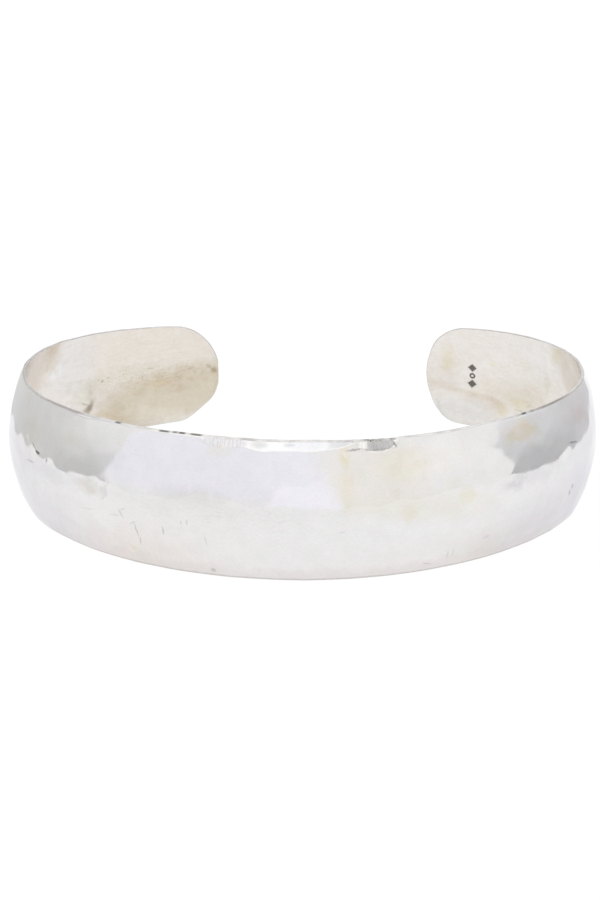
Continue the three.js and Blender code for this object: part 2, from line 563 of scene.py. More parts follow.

# Tints that the metal's colour is multiplied by, for tarnish and dirt, and for painted shade and light.
# Most are weak, since light that is reflected more than once in the cuff takes them each time. Other tints
# stand in the tables' rows; where they brighten the metal they are painted highlights.
WARM = (0.985, 0.965, 0.91)
PEACH = (1.0, 0.965, 0.87)
ORANGE = (1.0, 0.95, 0.85)
OLIVE = (0.965, 0.95, 0.84)
TAN = (0.925, 0.905, 0.855)
CREAM = (0.975, 0.95, 0.915)
BLUSH = (1.0, 0.975, 0.965)
RUST = (0.97, 0.92, 0.90)
HONEY = (0.84, 0.80, 0.70)
BROWN = (0.66, 0.60, 0.52)
DIRT = (0.16, 0.15, 0.15)
SMOKE = (0.93, 0.93, 0.90)
DULL = (0.90, 0.895, 0.88)
# Painted shade and light in the reflections: a grey and a cool painted shade, a bluish painted reflection
# and a painted gleam.
PAINTED_SHADE = (0.90, 0.89, 0.91)
COOL_PAINTED_SHADE = (0.90, 0.90, 0.94)
BLUE_PAINTED_REFLECTION = (0.96, 0.985, 1.04)
PAINTED_GLEAM = (1.035, 1.05, 1.10)
PINK_CAST = (1.0, 0.985, 0.99)
GREEN_CAST = (0.985, 0.995, 0.985)

# Regions of the strip that have a texture of their own: along, height, half length, half width, angle
# and softness. The flats are those of the upper rim's front.
LEFT_FLAT = (-6.2, 14.8, 2.3, 0.55, 0, 0.2)
MIDDLE_FLAT = (2.2, 14.8, 2.0, 0.45, 0, 0.4)
RIGHT_FLAT = (9.2, 14.8, 2.2, 0.8, 0, 0.2)
STREAKED = (-5.0, 7.2, 12.0, 1.9, 0, 0.8)
MOTTLED = (-68.0, 5.2, 5.0, 1.3, 0, 0.6)
SPECKLED = (-66.5, 6.0, 7.5, 1.5, 0, 0.6)

# Tarnish, dirt and marks, and painted shade, highlights and reflection, each with its place along the strip
# and its height, its half length and half width, angle in degrees, softness, tint and strength.
OUTER_STAINS_AND_PAINTED_LIGHT = (
    # left side, round the grey patch that is the grey card's reflection: its grey and bluish rows are
    # painted shade, its warm ones tarnish
    (-37.6, 9.2, 1.6, 1.8, 0, 0.7, (0.93, 0.92, 0.96), 1),
    (-36.5, 4, 6, 7.5, 0, 0.5, COOL_PAINTED_SHADE, 1),
    (-34.6, 3.4, 1.8, 2.2, -20, 0.6, (0.965, 0.965, 0.99), 1),
    (-33.6, 13.6, 1, 0.5, 0, 0.6, RUST, 0.5),
    (-31.5, 2.6, 8, 4.5, 0, 0.7, PAINTED_SHADE, 0.9),
    (-31, 10.6, 1.8, 1.4, 20, 0.5, TAN, 0.6),
    (-31, 11.6, 3.8, 3.2, 0, 0.6, SMOKE, 0.5),
    (-27, 7.9, 5, 0.9, 0, 0.8, PAINTED_SHADE, 0.8),
    (-26, 1.2, 7, 2, 0, 0.8, PAINTED_SHADE, 0.5),
    (-23.8, 12.1, 1.4, 0.7, 0, 0.5, OLIVE, 0.4),
    (-20.8, 8, 1.6, 0.9, 0, 0.7, DULL, 0.9),
    (-20.8, 8, 1.4, 0.8, 0, 0.7, WARM, 0.5),
    (-19.4, 12.6, 2.4, 2.2, 0, 0.7, (0.94, 0.94, 0.945), 0.9),
    (-18.6, 8.2, 0.25, 1, -18, 0.6, DULL, 1),
    # left half of the front: a darker band where the reflection's horizon lies, which is painted shade, and
    # a little tarnish
    (-9, 9.3, 3, 0.8, 0, 0.7, DULL, 0.6),
    (-8, 8.1, 9.5, 1.1, 0, 0.8, (0.955, 0.95, 0.95), 0.8),
    (-6.5, 13.75, 1.2, 0.55, 0, 0.5, OLIVE, 0.6),
    # the warm patch right of the middle, which is tarnish, with a painted highlight at its upper right
    (5.7, 13.6, 0.5, 0.8, 0, 0.6, OLIVE, 0.9),
    (5.8, 13.6, 0.4, 0.7, 0, 0.6, ORANGE, 0.6),
    (5.9, 10.7, 0.6, 1.9, 0, 0.9, PEACH, 0.7),
    (7, 8.6, 1.6, 0.8, 0, 0.6, OLIVE, 0.2),
    (9, 11.4, 5, 3.9, 0, 0.35, WARM, 0.8),
    (10.7, 9.8, 0.5, 0.5, 0, 0.6, TAN, 0.4),
    (10.8, 12.4, 0.5, 0.5, 0, 0.6, TAN, 0.35),
    (11.5, 12.5, 2.4, 1.3, 0, 0.6, OLIVE, 0.5),
    (12.2, 7.3, 1, 0.9, 0, 0.6, OLIVE, 0.6),
    (15.5, 12.6, 2.8, 1.6, 0, 0.8, (1.045, 1.035, 1.015), 1),
    (15.6, 7.6, 5.4, 1.5, -5, 0.6, WARM, 0.8),
    (16.5, 9.9, 0.8, 0.6, 0, 0.6, OLIVE, 0.4),
    (18.2, 8.3, 0.9, 0.9, 0, 0.6, OLIVE, 0.7),
    # right side, round the grey patch that is the grey card's reflection: its grey and bluish rows are
    # painted shade, its orange, olive and rust ones tarnish
    (24, 8.3, 1.2, 0.6, 0, 0.8, PAINTED_SHADE, 1),
    (24.2, 12.7, 0.9, 0.7, 0, 0.5, OLIVE, 0.7),
    (25.6, 13.1, 2.3, 0.8, -4, 0.5, ORANGE, 1),
    (26.3, 13.9, 1, 0.5, 0, 0.7, ORANGE, 0.8),
    (26.5, 2.2, 6, 2.5, 0, 0.8, PAINTED_SHADE, 0.7),
    (26.8, 12.7, 1, 0.9, 0, 0.6, ORANGE, 0.5),
    (27, 8.2, 4, 0.8, 0, 0.8, PAINTED_SHADE, 0.7),
    (30.5, 6.2, 3.5, 1, 0, 0.8, (0.97, 0.965, 0.975), 1),
    (34.5, 1.8, 10, 3.6, 0, 0.7, PAINTED_SHADE, 1),
    (36.5, 12.6, 3.5, 1.6, -10, 0.6, RUST, 0.6),
    (36.8, 11.6, 2, 0.7, -20, 0.6, RUST, 0.9),
    (38.5, 4, 6, 7.5, 0, 0.5, COOL_PAINTED_SHADE, 1),
    (38.8, 3.6, 1.8, 2.6, 20, 0.6, (0.95, 0.95, 0.975), 1),
    (39.5, 2, 4, 3.2, 0, 0.7, PAINTED_SHADE, 1),
    (41.6, 10.6, 2.2, 3, 0, 0.7, (0.93, 0.92, 0.965), 1),
    # the lower half of the front, which is faintly pink, and darker towards the bottom edge as painted
    # shade
    (-15.5, 1.8, 6, 2.2, 0, 0.8, (0.96, 0.93, 0.9), 0.9),
    (-13, 3, 9, 3, 0, 0.8, BLUSH, 0.7),
    (-11, 7, 8, 2, 0, 0.9, BLUSH, 0.3),
    (0, 0.3, 60, 1, 0, 0.7, (0.94, 0.935, 0.935), 1),
    (2, 0.6, 26, 1, 0, 0.8, BLUSH, 0.8),
    (18, 1.6, 12, 2, 0, 0.8, BLUSH, 0.7),
    (20.5, 2, 3, 1.8, 0, 0.8, (0.96, 0.955, 0.93), 1),
)

OUTER_MARKS_AND_PAINTED_SHADE = (
    # nicks at the left end of the left grey patch
    (-30.2, 7.8, 0.7, 0.1, 8, 0.6, DIRT, 0.3),
    (-29.6, 9.6, 0.5, 0.1, -30, 0.5, DIRT, 0.5),
    (-28.8, 9.25, 0.45, 0.16, -5, 0.4, DIRT, 0.9),
    (-27.15, 8.9, 0.12, 0.26, -10, 0.5, DIRT, 0.5),
    # scratches and a spot left of the middle
    (-21, 5.4, 0.9, 0.07, 8, 0.6, DIRT, 0.12),
    (-17.6, 5.6, 0.6, 0.08, 12, 0.6, DIRT, 0.15),
    (-16.8, 6, 0.12, 0.45, 25, 0.6, DIRT, 0.22),
    (-16.5, 6.5, 0.3, 0.08, 10, 0.6, DIRT, 0.18),
    (-16, 2.1, 0.35, 0.3, 0, 0.6, OLIVE, 0.9),
    (-15.5, 5.2, 0.4, 0.08, 30, 0.6, DIRT, 0.2),
    (-15.15, 4.4, 0.09, 0.75, 8, 0.6, DIRT, 0.3),
    (-14.9, 3.2, 0.08, 0.5, -4, 0.6, DIRT, 0.25),
    (-12.1, 5, 0.1, 0.4, 0, 0.6, DIRT, 0.3),
    (-10.1, 6.3, 0.08, 0.25, 10, 0.6, DIRT, 0.15),
    (-9.5, 6.4, 0.1, 0.3, 0, 0.6, DIRT, 0.22),
    (-7.7, 4.6, 0.08, 0.5, 12, 0.6, DIRT, 0.15),
    (-7.4, 0.8, 0.25, 0.2, 0, 0.6, DIRT, 0.3),
    # scratches right of the middle
    (5.4, 6, 0.35, 0.07, 0, 0.6, DIRT, 0.15),
    (14.5, 1, 0.5, 0.08, -20, 0.6, DIRT, 0.25),
    (16.6, 1.8, 0.08, 0.5, 5, 0.6, DIRT, 0.15),
    (17.2, 1.9, 0.08, 0.5, 5, 0.6, DIRT, 0.15),
    (20.9, 2.9, 0.4, 0.2, 0, 0.6, DIRT, 0.12),
    # nicks on the right side
    (33.1, 4.3, 0.22, 0.34, 20, 0.6, DIRT, 0.42),
    (33.5, 4.85, 0.2, 0.3, 20, 0.6, DIRT, 0.42),
    (33.6, 9.75, 0.8, 0.09, -15, 0.5, DIRT, 0.5),
    # the corner of the upper rim: a grey line of painted shade along the corner, and dirt in nicks
    (-2.6, 14.78, 0.8, 0.3, 0, 0.6, (0.8, 0.8, 0.81), 0.9),
    (0.4, 14.82, 0.5, 0.16, 0, 0.6, (0.8, 0.8, 0.81), 0.8),
    (6.9, 14.3, 0.8, 0.09, 4, 0.6, DIRT, 0.5),
    (9.3, 14.2, 1.5, 0.08, 2, 0.6, DIRT, 0.2),
    (11, 14.62, 0.13, 0.34, 25, 0.5, DIRT, 0.55),
    # the corner of the lower rim: a line of painted shade along the bottom edge
    (0, 0, 80, 0.26, 0, 0.4, (0.8, 0.78, 0.77), 1),
)

INNER_STAINS_AND_PAINTED_LIGHT = (
    # left arm, from its tip: brown in the lower half, partly tarnish and partly painted shade, and bright
    # patches, above all a wedge near the front, that are painted reflection
    (-74.2, 5, 0.5, 3, 0, 0.7, SMOKE, 1),
    (-73, 6.6, 0.9, 1, 0, 0.7, SMOKE, 0.6),
    (-70, 3.9, 0.9, 0.4, 0, 0.6, TAN, 0.6),
    (-68.2, 3.2, 10, 2.9, -6, 0.35, HONEY, 1),
    (-68, 8.8, 11, 4.5, 3, 0.5, CREAM, 0.9),
    (-67.6, 4.9, 1.3, 0.5, 0, 0.7, (1, 0.94, 0.86), 0.7),
    (-66.8, 1.2, 3.4, 0.8, 4, 0.7, (1.09, 1.11, 1.14), 1),
    (-65, 6.6, 8.5, 0.9, 0, 0.7, (0.95, 0.95, 0.925), 1),
    (-64.8, 4.2, 0.7, 0.5, 0, 0.6, TAN, 0.6),
    (-62.4, 2.9, 0.9, 0.6, 20, 0.6, TAN, 0.8),
    (-61, 2, 2.2, 0.6, 14, 0.7, (0.95, 0.89, 0.81), 0.7),
    (-60, 4.8, 2.6, 1.2, 10, 0.7, (0.935, 0.93, 0.925), 1),
    (-58.7, 6.3, 1, 0.8, 0, 0.6, SMOKE, 0.9),
    (-57, 5, 1.6, 1, 20, 0.6, (0.955, 0.965, 0.93), 1),
    (-55.8, 9.3, 3.2, 3.2, 0, 0.7, BLUE_PAINTED_REFLECTION, 0.8),
    (-55.2, 6.8, 0.5, 0.5, 0, 0.7, SMOKE, 0.8),
    (-53.6, 9.9, 0.55, 1.1, -25, 0.7, PAINTED_GLEAM, 1),
    (-52.3, 8.8, 0.6, 0.5, -30, 0.7, PAINTED_GLEAM, 1),
    (-52.3, 11.3, 1.4, 1.6, -25, 0.4, (0.93, 0.9, 0.85), 1),
    (-51.8, 12.7, 1.8, 0.6, 0, 0.6, (0.96, 0.93, 0.9), 0.2),
    (-47.8, 11.4, 2.8, 3.2, 0, 0.6, (1.16, 1.18, 1.26), 1),
    # right arm, from its tip: its bright and bluish rows are painted reflection, its warm ones tarnish
    (73.9, 3.6, 0.5, 2.6, 0, 0.7, SMOKE, 1),
    (72.4, 0.9, 1.2, 0.5, 30, 0.7, DULL, 0.9),
    (71.8, 5.6, 1.6, 2.2, 0, 0.7, (0.955, 0.94, 0.935), 1),
    (71.5, 7.7, 0.7, 1.4, 10, 0.8, OLIVE, 0.7),
    (71.4, 6.9, 0.8, 0.6, 0, 0.7, OLIVE, 0.6),
    (69.5, 1.8, 4.2, 1.4, -8, 0.5, (0.945, 0.965, 0.99), 1),
    (67, 3, 2.6, 0.7, 8, 0.7, (0.95, 0.92, 0.88), 1),
    (65.6, 3.3, 0.9, 0.6, 0, 0.7, RUST, 0.6),
    (64.4, 2.5, 1, 0.8, 20, 0.6, OLIVE, 0.9),
    (63.5, 4.7, 4.6, 1.2, 0, 0.8, (0.955, 0.94, 0.9), 1),
    (62, 3.9, 1.5, 0.7, 0, 0.6, OLIVE, 0.8),
    (61.3, 8.9, 0.9, 0.4, 0, 0.7, OLIVE, 0.5),
    (60, 5.7, 1.6, 0.7, -15, 0.7, RUST, 0.6),
    (60, 6, 5, 2.3, -20, 0.7, SMOKE, 0.8),
    (59, 10.2, 4, 2, 0, 0.7, BLUE_PAINTED_REFLECTION, 0.5),
    (57.8, 7.4, 0.4, 0.9, 0, 0.7, SMOKE, 0.9),
    (56, 10.8, 0.8, 0.9, 0, 0.7, (0.94, 0.92, 0.88), 0.9),
    (55, 11.9, 1.2, 0.7, -20, 0.6, OLIVE, 0.9),
    (53.9, 9.6, 0.9, 1.5, -20, 0.6, (0.95, 0.92, 0.89), 1),
    (50, 11.3, 2.2, 1.5, 0, 0.6, (1.08, 1.11, 1.16), 1),
)

INNER_MARKS_AND_PAINTED_REFLECTION = (
    # left arm, from its tip: dark spots
    (-73.7, 5.7, 0.34, 0.34, 0, 0.7, BROWN, 0.9),
    (-73.1, 6.2, 0.35, 0.22, 40, 0.6, BROWN, 0.6),
    (-71, 6.3, 0.3, 0.25, 0, 0.6, BROWN, 0.4),
    (-66.4, 6.8, 0.3, 0.1, 0, 0.6, BROWN, 0.4),
    (-61, 6.7, 0.14, 0.1, 0, 0.6, BROWN, 0.5),
    (-60.2, 6.4, 0.18, 0.14, 0, 0.6, BROWN, 0.8),
    (-58.5, 5, 0.35, 0.9, 0, 0.8, (0.9, 0.885, 0.85), 0.9),
    (-58.45, 3.95, 0.85, 0.28, -50, 0.9, (0.68, 0.66, 0.61), 0.7),
    (-58.3, 3.65, 0.6, 0.32, -50, 0.8, (0.62, 0.6, 0.56), 1),
    (-57.7, 3.55, 0.5, 0.3, -40, 0.8, (0.7, 0.67, 0.62), 0.9),
    (-57.7, 4.25, 0.55, 0.12, 25, 0.6, BROWN, 0.7),
    # right arm, from its tip: a tan line, which is the edge of a painted reflection in the hollow face, and
    # a few spots
    (72.6, 2.3, 0.35, 0.1, 50, 0.6, DULL, 1),
    (72.3, 2.1, 0.08, 0.3, 10, 0.6, DULL, 1),
    (71.9, 4.25, 1.9, 0.46, 9, 0.7, TAN, 0.9),
    (68, 3.75, 2.4, 0.36, 5, 0.7, TAN, 0.9),
    (65.8, 7.8, 0.4, 0.3, 0, 0.6, OLIVE, 0.8),
    (65, 3.35, 1.2, 0.4, 12, 0.7, TAN, 0.55),
    (61.9, 3.2, 0.5, 0.1, -10, 0.6, BROWN, 0.4),
    (60.6, 4, 0.5, 0.14, -20, 0.7, BROWN, 0.3),
)

RIM_STAINS_AND_PAINTED_LIGHT = (
    # the whole lower rim
    (0, 0, 60, 1, 0, 0.5, DULL, 1),
    # long stretches of the upper rim, darker and lighter; the lighter ones are painted highlights
    (-44, 13, 24, 3, 0, 0.2, (0.88, 0.87, 0.9), 1),
    (-33.8, 15, 4.6, 3, 0, 0.5, (1.14, 1.15, 1.1), 1),
    (-26, 15, 2.8, 2, 0, 0.5, (0.76, 0.7, 0.7), 0.8),
    (32, 15, 2.9, 2, 0, 0.4, (0.62, 0.57, 0.52), 0.8),
    (39, 15, 4.2, 3, 0, 0.5, (1.1, 1.1, 1.06), 1),
    (46, 13, 24, 3, 0, 0.2, (0.92, 0.91, 0.92), 1),
    # dirt in nicks of the upper rim
    (-18.3, 15, 0.35, 2, 0, 0.4, DIRT, 0.75),
    (-12.7, 15, 0.55, 2, 0, 0.4, DIRT, 0.85),
    (-11.5, 15, 0.3, 2, 0, 0.5, DIRT, 0.7),
    (-10.7, 15, 0.35, 2, 0, 0.5, DIRT, 0.85),
    (-9.2, 15, 0.6, 2, 0, 0.5, DIRT, 0.8),
    (-3.7, 15, 0.8, 2, 0, 0.5, DIRT, 0.25),
    (5.8, 15, 0.6, 2, 0, 0.5, DIRT, 0.15),
    (10.9, 15, 0.3, 2, 0, 0.4, DIRT, 0.45),
    (26.9, 15, 0.35, 2, 0, 0.4, DIRT, 0.8),
    (28.2, 15, 0.3, 2, 0, 0.5, DIRT, 0.25),
)

RING_SIZE = (0.36, 0.33)  # half length and half width of the punched ring
RING_HOLE = (0.15, 0.13)
DIAMOND_SIZE = (0.56, 0.48)
DIAMOND_RISE = 0.95  # how far above and below the ring the diamonds are


def punched_mark(nodes, strip):
    """1 in the pits of a small mark without lettering: a ring between two diamonds, in a column."""
    along, height = MARK_PLACE
    disc = nodes.patch(strip, along, height, *RING_SIZE, soft=0.15)
    ring = nodes.math("SUBTRACT", disc, nodes.patch(strip, along, height, *RING_HOLE, soft=0.3), clamp=True)
    upper = nodes.diamond(strip, along, height + DIAMOND_RISE, *DIAMOND_SIZE)
    lower = nodes.diamond(strip, along, height - DIAMOND_RISE, *DIAMOND_SIZE)
    return nodes.math("MAXIMUM", ring, nodes.math("MAXIMUM", upper, lower))


def polished_metal(nodes, strip, patchy, grain):
    """The bare outside: patchy and grainy, with a faint cast of pink here and of green there."""
    dark, light = POLISHED
    colour = nodes.mix(nodes.ramp(patchy, 0.30, 0.70), opaque(dark), opaque(light))
    colour = nodes.tint(nodes.ramp(grain, 0.25, 0.75), colour, (0.965, 0.965, 0.965))
    cast = nodes.noise(nodes.stretched(strip, (0.8, 1.2, 1.0)), 0.7, 2.0, 0.5)
    cast = nodes.mix(nodes.ramp(cast, 0.35, 0.65), opaque(PINK_CAST), opaque(GREEN_CAST))
    return nodes.mix(1.0, colour, cast, "MULTIPLY")


def filed_flats(nodes, strip, colour):
    """Dulls the left and the middle flat of the upper rim, and draws file lines on the outer two."""
    left_flat = nodes.patch(strip, *LEFT_FLAT)
    colour = nodes.tint(left_flat, colour, (0.86, 0.86, 0.88))
    filed = nodes.math("MAXIMUM", nodes.patch(strip, *RIGHT_FLAT), left_flat)
    file_lines = nodes.noise(nodes.stretched(strip, (5.0, 0.8, 1.0)), 1.0, 3.0, 0.6)
    filed = nodes.math("MULTIPLY", filed, nodes.ramp(file_lines, 0.46, 0.58))
    colour = nodes.tint(filed, colour, (0.88, 0.88, 0.885))
    dulled = nodes.math("MULTIPLY", nodes.patch(strip, *MIDDLE_FLAT), 0.8)
    return nodes.tint(dulled, colour, (0.92, 0.93, 0.96))


def front_streaks(nodes, ragged, colour):
    """Faint grey streaks along the front, mostly left of the middle."""
    streaks = nodes.noise(nodes.stretched(ragged, (0.35, 3.4, 1.0)), 1.0, 5.0, 0.7)
    streaked = nodes.math("MULTIPLY", nodes.patch(ragged, *STREAKED), nodes.ramp(streaks, 0.48, 0.66))
    return nodes.tint(streaked, colour, (0.95, 0.945, 0.945))


def polished_silver():
    """The outside: polished, stained and scratched, with painted shade and highlights in its colour."""
    material = bpy.data.materials.new("polished_silver")
    nodes = Nodes(material)
    strip = nodes.attribute("strip", "Vector")
    ragged = nodes.shaken(strip, 0.9, 2.2)
    slightly_ragged = nodes.shaken(strip, 4.0, 0.25)
    fine_scratches = nodes.noise(nodes.stretched(strip, (0.5, 6.0, 1.0)), 1.0, 4.0, 0.6)
    patchy = nodes.noise(strip, 0.45, 5.0, 0.65)
    grain = nodes.noise(nodes.stretched(strip, (1.0, 1.6, 1.0)), 3.2, 3.0, 0.6)
    colour = polished_metal(nodes, strip, patchy, grain)
    # tarnish, with painted shade and painted highlights in the reflections
    colour = nodes.lay_tints(colour, ragged, OUTER_STAINS_AND_PAINTED_LIGHT)
    # dirt and scratches, with painted shade along the corners of the rims
    colour = nodes.lay_tints(colour, slightly_ragged, OUTER_MARKS_AND_PAINTED_SHADE)
    colour = filed_flats(nodes, strip, colour)
    colour = front_streaks(nodes, ragged, colour)
    # a thin darker line along the outline, partly dirt and partly painted shade
    edge = nodes.ramp(nodes.attribute("from_edge", "Fac"), 0.18, 0.08)
    colour = nodes.tint(edge, colour, (0.90, 0.89, 0.89))
    polish = nodes.ramp(patchy, 0.35, 0.75, 0.065, 0.10)
    roughness = nodes.math("ADD", polish, nodes.ramp(fine_scratches, 0.5, 0.8, 0.0, 0.04))
    height = nodes.math("ADD", nodes.math("MULTIPLY", grain, 0.5), fine_scratches)
    inputs = {"Base Color": colour, "Metallic": 1.0, "Roughness": roughness}
    inputs["Normal"] = nodes.relief(height, 0.05, 0.00002)
    nodes.finish("ShaderNodeBsdfPrincipled", inputs)
    return material


def satin_metal(nodes, strip, blotches, streaks):
    """The bare inside: blotchy, streaked along the strip and speckled."""
    light, dark = SATIN
    colour = nodes.mix(nodes.ramp(blotches, 0.32, 0.68), opaque(light), opaque(dark))
    colour = nodes.tint(nodes.ramp(streaks, 0.3, 0.7, 0.0, 0.5), colour, (0.95, 0.94, 0.93))
    speckle = nodes.noise(nodes.stretched(strip, (1.0, 1.3, 1.0)), 2.6, 3.0, 0.6)
    return nodes.tint(nodes.ramp(speckle, 0.35, 0.75), colour, (0.955, 0.955, 0.94))


def tarnish_spots(nodes, strip, ragged, colour):
    """Mottles and small dark specks in the tarnish of the left arm."""
    mottles = nodes.noise(nodes.stretched(strip, (0.8, 1.4, 1.0)), 1.5, 5.0, 0.75)
    mottled = nodes.math("MULTIPLY", nodes.patch(ragged, *MOTTLED), nodes.ramp(mottles, 0.42, 0.66))
    colour = nodes.tint(mottled, colour, (0.89, 0.86, 0.81))
    specks = nodes.noise(strip, 5.0, 2.0, 0.6)
    speckled = nodes.math("MULTIPLY", nodes.patch(ragged, *SPECKLED), nodes.ramp(specks, 0.56, 0.68))
    return nodes.tint(speckled, colour, (0.80, 0.77, 0.70))


def satin_silver():
    """The inside: satin, tarnished, with painted reflection and shade in its colour, and the punched mark.
    """
    material = bpy.data.materials.new("satin_silver")
    nodes = Nodes(material)
    strip = nodes.attribute("strip", "Vector")
    ragged = nodes.shaken(strip, 0.8, 2.4, 5.0)
    slightly_ragged = nodes.shaken(strip, 3.0, 0.5)
    blotches = nodes.noise(nodes.stretched(strip, (0.8, 1.3, 1.0)), 0.8, 6.0, 0.7)
    streaks = nodes.noise(nodes.stretched(strip, (0.35, 3.0, 1.0)), 1.0, 5.0, 0.65)
    colour = satin_metal(nodes, strip, blotches, streaks)
    # tarnish, with painted reflection and painted shade
    colour = nodes.lay_tints(colour, ragged, INNER_STAINS_AND_PAINTED_LIGHT)
    colour = tarnish_spots(nodes, strip, ragged, colour)
    # dark spots, and a tan line that is the edge of a painted reflection
    colour = nodes.lay_tints(colour, slightly_ragged, INNER_MARKS_AND_PAINTED_REFLECTION)
    mark = punched_mark(nodes, nodes.shaken(strip, 3.0, 0.12))
    colour = nodes.mix(mark, colour, opaque(PIT))
    satin = nodes.ramp(blotches, 0.3, 0.7, 0.17, 0.25)
    roughness = nodes.math("ADD", satin, nodes.math("MULTIPLY", mark, 0.4))
    height = nodes.math("SUBTRACT", nodes.math("ADD", streaks, blotches), nodes.math("MULTIPLY", mark, 3.0))
    inputs = {"Base Color": colour, "Metallic": 1.0, "Roughness": roughness}
    inputs["Normal"] = nodes.relief(height, 0.12, 0.00003)
    nodes.finish("ShaderNodeBsdfPrincipled", inputs)
    return material


def rim_silver():
    """The rounded rim, where dirt and tarnish sit, with painted shade in its darker colour and painted
    highlights on stretches of the upper rim.
    """
    material = bpy.data.materials.new("rim_silver")
    nodes = Nodes(material)
    strip = nodes.attribute("strip", "Vector")
    light, dark = RIM
    dirt = nodes.noise(strip, 0.9, 4.0, 0.6)
    colour = nodes.mix(nodes.ramp(dirt, 0.40, 0.65), opaque(light), opaque(dark))
    # dirt and tarnish on the rim, with painted highlights and painted shade on stretches of it
    colour = nodes.lay_tints(colour, nodes.shaken(strip, 2.0, 0.5), RIM_STAINS_AND_PAINTED_LIGHT)
    inputs = {"Base Color": colour, "Metallic": 1.0, "Roughness": 0.3}
    nodes.finish("ShaderNodeBsdfPrincipled", inputs)
    return material


# ---------------- studio

TENT_BRIGHTENS = (42, 54)  # degrees above the horizon between which the white tent gets brighter
TENT_TOP = 1.24  # how bright it is overhead


def add_world():
    """An even white tent, a little brighter overhead."""
    world = bpy.data.worlds.new("studio")
    bpy.context.scene.world = world
    nodes = Nodes(world)
    direction = nodes.add("ShaderNodeTexCoord").outputs["Generated"]
    up = nodes.add("ShaderNodeSeparateXYZ", {0: direction}).outputs["Z"]
    low, high = (math.sin(math.radians(angle)) for angle in TENT_BRIGHTENS)
    strength = nodes.ramp(up, low, high, 1.0, TENT_TOP)
    inputs = {"Color": (1, 1, 1, 1), "Strength": strength}
    nodes.finish("ShaderNodeBackground", inputs, "ShaderNodeOutputWorld")


FLOOR_REACH = 4.0  # metres from the middle to each side
FLOOR_GLOW = 0.945
FLOOR_COLOUR = (0.08, 0.08, 0.08)


def add_floor():
    """A white table that glows evenly, so that hardly any shadow shows on it."""
    corners = [(x * FLOOR_REACH, y * FLOOR_REACH, 0) for x, y in ((-1, -1), (1, -1), (1, 1), (-1, 1))]
    floor = add_object("floor", corners, [(0, 1, 2, 3)])
    material = bpy.data.materials.new("pale_floor")
    nodes = Nodes(material)
    inputs = {"Base Color": opaque(FLOOR_COLOUR), "Roughness": 1.0, "Specular IOR Level": 0.0}
    inputs.update({"Emission Color": (1, 1, 1, 1), "Emission Strength": FLOOR_GLOW})
    nodes.finish("ShaderNodeBsdfPrincipled", inputs)
    floor.data.materials.append(material)


FRONT_RING = (66.0, 70.0)  # half width and half depth of the oval that the white cards stand on
GREY_RING = (65.0, 69.0)  # the front edges of the grey cards stand just inside it


def on_ring(angle, ring=FRONT_RING):
    """A place on a ring of cards round the cuff. Angle 0 is in front, and it grows towards +X."""
    half_width, half_depth = ring
    turn = math.radians(angle)
    return half_width * math.sin(turn), -half_depth * math.cos(turn)


def arc_on_ring(start, end, steps=40):
    """A line along the ring, from one angle to another."""
    return [on_ring(lerp(start, end, step / (steps - 1))) for step in range(steps)]


def resample(line, count):
    """The same line on the plan, as evenly spaced points."""
    line = np.array(line, float)
    walked = np.concatenate([[0], np.cumsum(np.hypot(*np.diff(line, axis=0).T))])
    places = np.linspace(0, walked[-1], count)
    return np.stack([np.interp(places, walked, line[:, 0]), np.interp(places, walked, line[:, 1])], -1)


CARD_COLUMNS = 40
CARD_ROWS = 24


def add_card(name, line_at, heights, colour_at):
    """A standing card, seen only in reflections. line_at gives its line on the plan at a height, and
    colour_at its colour at a share of the way along that line and a height."""
    low, high = heights
    points, colours = [], []
    for row in range(CARD_ROWS + 1):
        height = lerp(low, high, row / CARD_ROWS)
        for column, (x, y) in enumerate(resample(line_at(height), CARD_COLUMNS + 1)):
            points.append((x * MM, y * MM, height * MM))
            colours.extend((*colour_at(column / CARD_COLUMNS, height), 1.0))
    corner = np.arange(CARD_ROWS)[:, None] * (CARD_COLUMNS + 1) + np.arange(CARD_COLUMNS)
    quads = np.stack([corner, corner + 1, corner + CARD_COLUMNS + 2, corner + CARD_COLUMNS + 1], -1)
    card = add_object(name, points, quads.reshape(-1, 4).tolist())
    shade = card.data.attributes.new("shade", "FLOAT_COLOR", "POINT")
    shade.data.foreach_set("color", colours)
    material = bpy.data.materials.new(name)
    nodes = Nodes(material)
    inputs = {"Color": nodes.attribute("shade", "Color"), "Strength": 1.0}
    nodes.finish("ShaderNodeEmission", inputs)
    card.data.materials.append(material)
    card.visible_camera = False
    card.visible_diffuse = False
    card.visible_shadow = False


def tinted(tone, tint):
    """The colour of a grey tone with a tint."""
    return tuple(tone * part for part in tint)


# The cards' tints, and their tones in the functions below: each gives a card's colour at a share of the
# way along it and a height. 1 is the white of the tent.
LILAC = (0.975, 0.97, 1.035)
WARM_WHITE = (1.01, 1.0, 0.995)
NEUTRAL_GREY = (1.0, 1.0, 0.99)
COOL_GREY = (1.0, 1.0, 1.015)
BLUE_GREY = (1.0, 1.0, 1.03)


def front_left_colour(share, height):
    """White at the foot and lilac above, a little brighter at the end by the middle."""
    tone = np.interp(height, (0, 3, 12, 30), (1.01, 0.99, 1.01, 1.02))
    tone = tone + 0.03 * smoothstep(0.75, 0.95, share)
    tint = tuple(lerp(1.0, part, smoothstep(0, 11, height)) for part in LILAC)
    return tinted(tone, tint)


def front_right_colour(share, height):
    """Warm white, but lilac and a little brighter at the end by the middle."""
    tone = np.interp(height, (0, 20, 45), (0.99, 1.01, 1.01)) + 0.03 * smoothstep(0.2, 0.0, share)
    tint = tuple(lerp(a, b, smoothstep(0.0, 0.12, share)) for a, b in zip(LILAC, WARM_WHITE))
    return tinted(tone, tint)


def bright_colour(share, height):
    """The brightest card, for the bright patch in the middle of the front."""
    return tinted(lerp(1.10, 1.04, smoothstep(13, 23, height)), LILAC)


